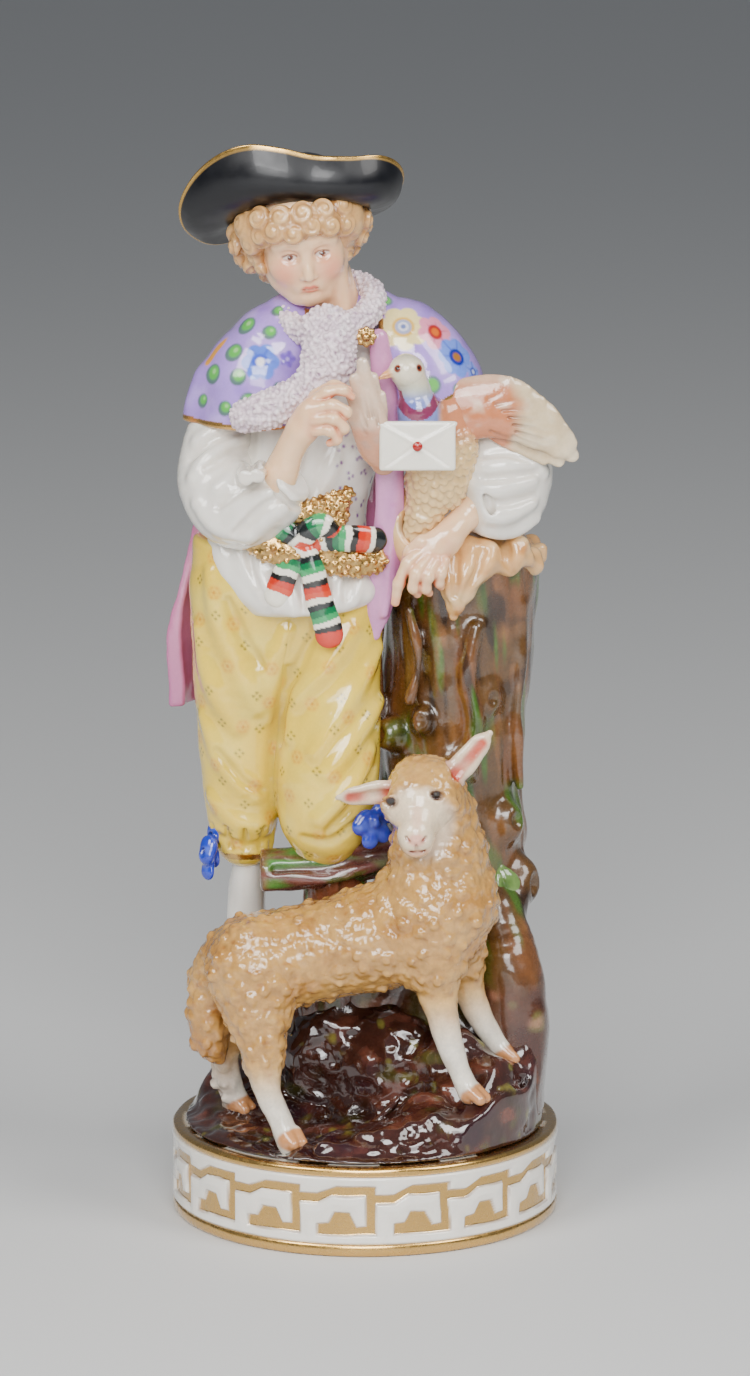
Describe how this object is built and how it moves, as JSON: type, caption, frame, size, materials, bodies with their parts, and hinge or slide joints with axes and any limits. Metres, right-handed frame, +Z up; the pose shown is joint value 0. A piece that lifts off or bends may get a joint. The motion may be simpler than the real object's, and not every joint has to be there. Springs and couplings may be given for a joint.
{
  "type": "porcelain figurine",
  "caption": "Standing shepherd in a turned-up hat leaning on a trunk, with a letter dove and a curly lamb, on a round drum plinth banded with a gilt key.",
  "frame": {"origin": "middle of the plinth's flat underside", "axes": "+Z up through the plinth, -Y towards the viewer whom the group faces, +X to that viewer's right"},
  "size_m": [0.0981, 0.095, 0.2633],
  "materials": {
    "white_glaze": "clear glaze over white porcelain, glossy",
    "meander": "white relief with a burnished gilt key in its recess",
    "gilt": "burnished gilding on porcelain, satin",
    "flesh": "pale enamel under clear glaze, glossy",
    "bark": "mottled brown enamel with green streaks, glossy",
    "earth": "dark manganese brown enamel, very glossy",
    "moss": "green over brown enamel, glossy",
    "skin": "ochre enamel, glossy",
    "mauve": "pink lilac enamel, glossy",
    "lavender": "lavender enamel with painted flowers and gilt hem, glossy",
    "yellow": "pale yellow enamel with rosettes, glossy",
    "black": "black enamel with a gilt edge, very glossy",
    "blue": "blue enamel, glossy",
    "striped": "orange, green and white stripes, glossy",
    "fleece": "tan curls of wool in enamel, glossy",
    "lamb_face": "cream enamel, glossy",
    "fur": "grainy grog under a thin lilac wash, satin",
    "blond": "blond enamel curls, glossy",
    "plumage": "blue grey and violet enamel, glossy",
    "feather": "brown and grey feathers, glossy",
    "seal": "red enamel, glossy"
  },
  "bodies": {
    "root": {"plinth": "white_glaze", "torso": "white_glaze", "stocking_right": "white_glaze", "stocking_left": "white_glaze", "peplum": "white_glaze", "sleeve_right": "white_glaze", "sleeve_left": "white_glaze", "letter": "white_glaze", "meander_band": "meander", "belt": "gilt", "brooch": "gilt", "head": "flesh", "neck": "flesh", "hand_right": "flesh", "hand_left": "flesh", "trunk_root": "bark", "trunk": "bark", "stump": "bark", "ground": "earth", "stone_left": "earth", "stone_middle": "earth", "stone_back": "earth", "side_rock": "earth", "kneeling_log": "moss", "ivy_leaf": "moss", "goatskin": "skin", "lapel": "mauve", "coat_skirt": "mauve", "cape_right": "lavender", "cape_left": "lavender", "breeches_right": "yellow", "breeches_left": "yellow", "hat": "black", "shoe_right": "black", "shoe_left": "black", "garter_bow_right": "blue", "garter_bow_left": "blue", "sash_bow": "striped", "sash_tails": "striped", "lamb_body": "fleece", "lamb_leg_hind_right": "fleece", "lamb_leg_hind_left": "fleece", "lamb_leg_fore_right": "fleece", "lamb_leg_fore_left": "fleece", "lamb_tail": "fleece", "lamb_head": "lamb_face", "lamb_ear_right": "lamb_face", "lamb_ear_left": "lamb_face", "fur_collar": "fur", "fur_tail": "fur", "hair": "blond", "dove_body": "plumage", "dove_head": "plumage", "dove_wing_left": "feather", "dove_wing_right": "feather", "seal": "seal"}
  },
  "joints": []
}
